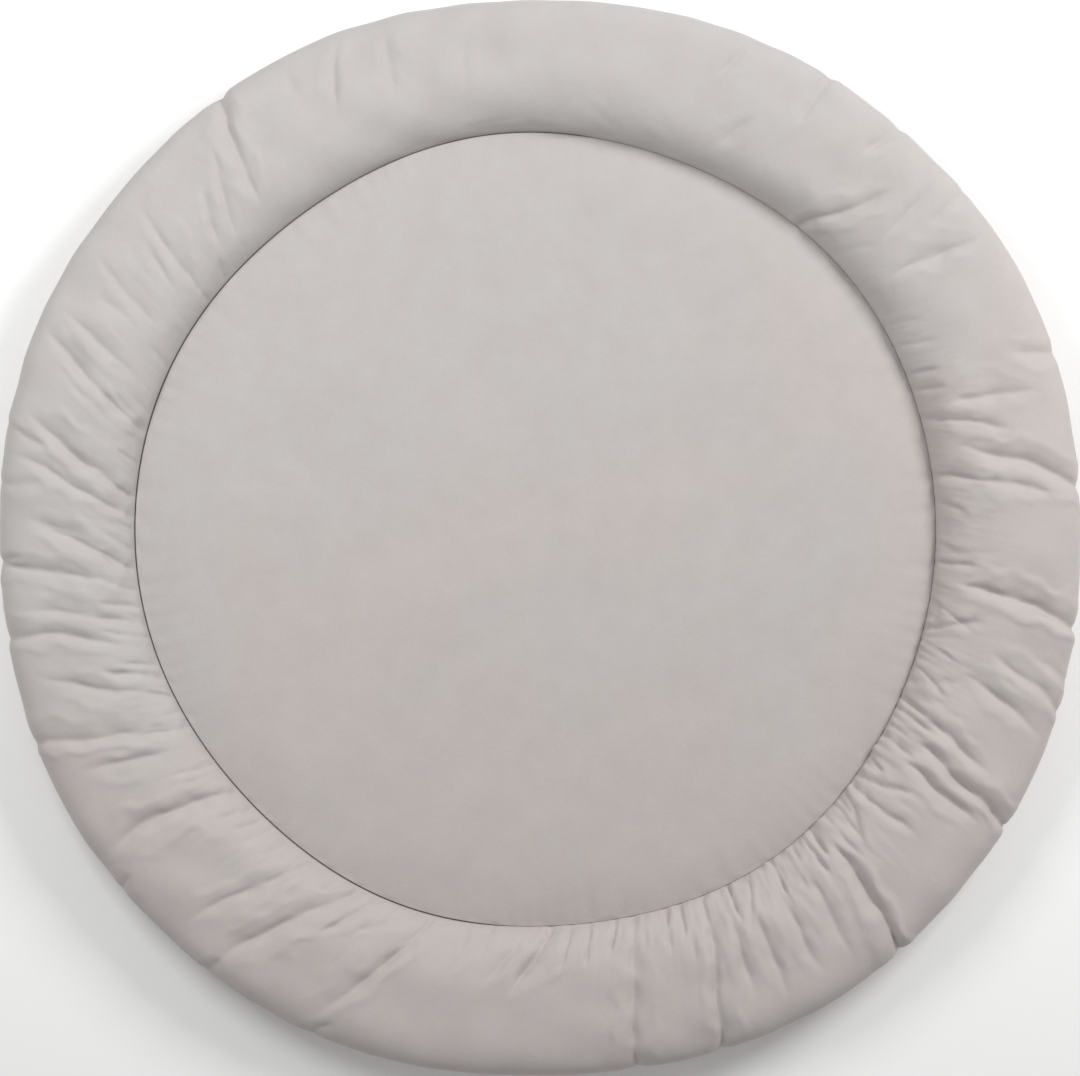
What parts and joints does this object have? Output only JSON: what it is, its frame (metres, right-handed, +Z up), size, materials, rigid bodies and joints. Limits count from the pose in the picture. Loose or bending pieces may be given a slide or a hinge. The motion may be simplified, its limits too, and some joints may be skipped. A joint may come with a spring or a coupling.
{
  "type": "baby play mat",
  "caption": "Round padded floor mat: a filled, lightly domed centre pad inside a stuffed rim whose cloth is gathered to the seam.",
  "frame": {"origin": "on the floor, under the middle of the mat's overall box", "axes": "+Z up, out of the filled side; +Y to the top of the picture and +X to its right"},
  "size_m": [0.95, 0.9448, 0.0624],
  "materials": {
    "pad_cloth": "pale warm grey cloth with a short soft nap",
    "rim_cloth": "pale warm grey cloth with a short soft nap, gathered"
  },
  "bodies": {
    "root": {"centre_pad": "pad_cloth", "rim_bolster": "rim_cloth"}
  },
  "joints": []
}
